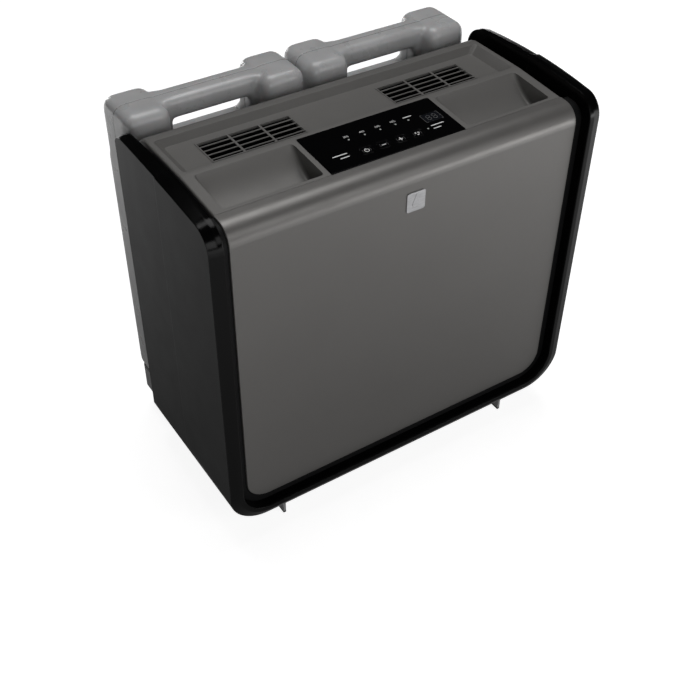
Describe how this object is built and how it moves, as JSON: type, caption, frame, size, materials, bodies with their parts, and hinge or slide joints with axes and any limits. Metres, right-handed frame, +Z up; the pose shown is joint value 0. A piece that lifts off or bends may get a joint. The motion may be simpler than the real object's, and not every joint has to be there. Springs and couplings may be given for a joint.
{
  "type": "cool mist humidifier",
  "caption": "Console humidifier: bowed black U frame, satin grey front and top with outlet grilles, control fascia and hand grips, and lift-out water bottles with handles at the back.",
  "frame": {"origin": "centre of the footprint, on the floor under the feet", "axes": "+X to the right seen from the front, +Y to the back (bottle side), +Z up"},
  "size_m": [0.574, 0.341, 0.5373],
  "materials": {
    "pewter": "satin metallic",
    "frame_gloss_black": "piano gloss",
    "side_black": "fine satin texture",
    "inner_black": "matte",
    "base_grey": "matte",
    "tank_grey": "blow-moulded satin",
    "cap_black": "matte",
    "fascia_gloss_black": "gloss",
    "display_lens": "smoked gloss",
    "light_pipe": "clear",
    "board_green": "solder mask",
    "badge_metal": "satin",
    "motor_steel": "zinc plated",
    "steel": "bright",
    "brass": "plain",
    "white_plastic": "matte",
    "fan_plastic": "matte",
    "float_foam": "matte",
    "wick_paper": "fibrous",
    "soft_rubber": "matte"
  },
  "bodies": {
    "housing": {"water_tub": "base_grey", "bottle_shelf": "base_grey", "left_well": "base_grey", "right_well": "base_grey", "foot_pads": "soft_rubber", "foot_screws": "steel", "left_front_foot": "base_grey", "right_front_foot": "base_grey", "left_rear_foot": "base_grey", "right_rear_foot": "base_grey", "chassis": "inner_black", "front_panel": "pewter", "badge": "badge_metal", "front_frame": "frame_gloss_black", "left_side_panel": "side_black", "right_side_panel": "side_black", "cord_gland": "soft_rubber", "rear_intake_panel": "inner_black", "wick_frame": "white_plastic", "wick_filter": "wick_paper", "float_guide": "white_plastic", "float_switch": "inner_black"},
    "top_module": {"top_cover": "pewter", "left_grille": "pewter", "right_grille": "pewter", "control_fascia": "fascia_gloss_black", "display_window": "display_lens", "display_module": "inner_black", "indicator_lights": "light_pipe", "control_board": "board_green", "tact_switches": "inner_black", "humidity_sensor": "white_plastic", "fan_deck": "inner_black", "fan_shroud": "inner_black", "motor_bracket": "motor_steel", "deck_screws": "steel", "motor_body": "motor_steel"},
    "fan": {"fan_shaft": "steel", "fan_rotor": "fan_plastic", "fan_nut": "brass"},
    "float": {"water_float": "float_foam"},
    "key_power_body": {"key_power": "fascia_gloss_black"},
    "key_minus_body": {"key_minus": "fascia_gloss_black"},
    "key_plus_body": {"key_plus": "fascia_gloss_black"},
    "key_fan_body": {"key_fan": "fascia_gloss_black"},
    "left_bottle": {"left_tank": "tank_grey"},
    "left_cap": {"left_tank_cap": "cap_black", "left_cap_seal": "soft_rubber", "left_valve_spring": "steel"},
    "left_valve": {"left_valve_stem": "white_plastic", "left_valve_seal": "soft_rubber"},
    "right_bottle": {"right_tank": "tank_grey"},
    "right_cap": {"right_tank_cap": "cap_black", "right_cap_seal": "soft_rubber", "right_valve_spring": "steel"},
    "right_valve": {"right_valve_stem": "white_plastic", "right_valve_seal": "soft_rubber"}
  },
  "joints": [
    {"name": "top_module_lift", "type": "slide", "parent": "housing", "child": "top_module", "axis": [0, 0, 1], "range_m": [0, 0.25]},
    {"name": "fan_spin", "type": "hinge", "parent": "top_module", "child": "fan", "pos_m": [0, -0.025, 0.448], "axis": [0, 0, 1], "continuous": true},
    {"name": "float_rise", "type": "slide", "parent": "housing", "child": "float", "axis": [0, 0, 1], "range_m": [0, 0.045]},
    {"name": "key_power_press", "type": "slide", "parent": "top_module", "child": "key_power_body", "axis": [0, 0, -1], "range_m": [0, 0.0008], "stiffness_N_per_m": 500, "springref_m": -0.001},
    {"name": "key_minus_press", "type": "slide", "parent": "top_module", "child": "key_minus_body", "axis": [0, 0, -1], "range_m": [0, 0.0008], "stiffness_N_per_m": 500, "springref_m": -0.001},
    {"name": "key_plus_press", "type": "slide", "parent": "top_module", "child": "key_plus_body", "axis": [0, 0, -1], "range_m": [0, 0.0008], "stiffness_N_per_m": 500, "springref_m": -0.001},
    {"name": "key_fan_press", "type": "slide", "parent": "top_module", "child": "key_fan_body", "axis": [0, 0, -1], "range_m": [0, 0.0008], "stiffness_N_per_m": 500, "springref_m": -0.001},
    {"name": "left_tank_lift", "type": "slide", "parent": "housing", "child": "left_bottle", "axis": [0, 0, 1], "range_m": [0, 0.3]},
    {"name": "left_cap_turn", "type": "hinge", "parent": "left_bottle", "child": "left_cap", "pos_m": [-0.133, 0.1285, 0.067], "axis": [0, 0, -1], "range_deg": [0, 450]},
    {"name": "left_valve_close", "type": "slide", "parent": "left_cap", "child": "left_valve", "axis": [0, 0, 1], "range_m": [-0.0034, 0], "deforming": ["left_valve_spring"]},
    {"name": "right_tank_lift", "type": "slide", "parent": "housing", "child": "right_bottle", "axis": [0, 0, 1], "range_m": [0, 0.3]},
    {"name": "right_cap_turn", "type": "hinge", "parent": "right_bottle", "child": "right_cap", "pos_m": [0.133, 0.1285, 0.067], "axis": [0, 0, -1], "range_deg": [0, 450]},
    {"name": "right_valve_close", "type": "slide", "parent": "right_cap", "child": "right_valve", "axis": [0, 0, 1], "range_m": [-0.0034, 0], "deforming": ["right_valve_spring"]}
  ],
  "couplings": [
    {"joint": "left_valve_close", "follows": "left_tank_lift", "ratio": -0.011},
    {"joint": "right_valve_close", "follows": "right_tank_lift", "ratio": -0.011}
  ]
}
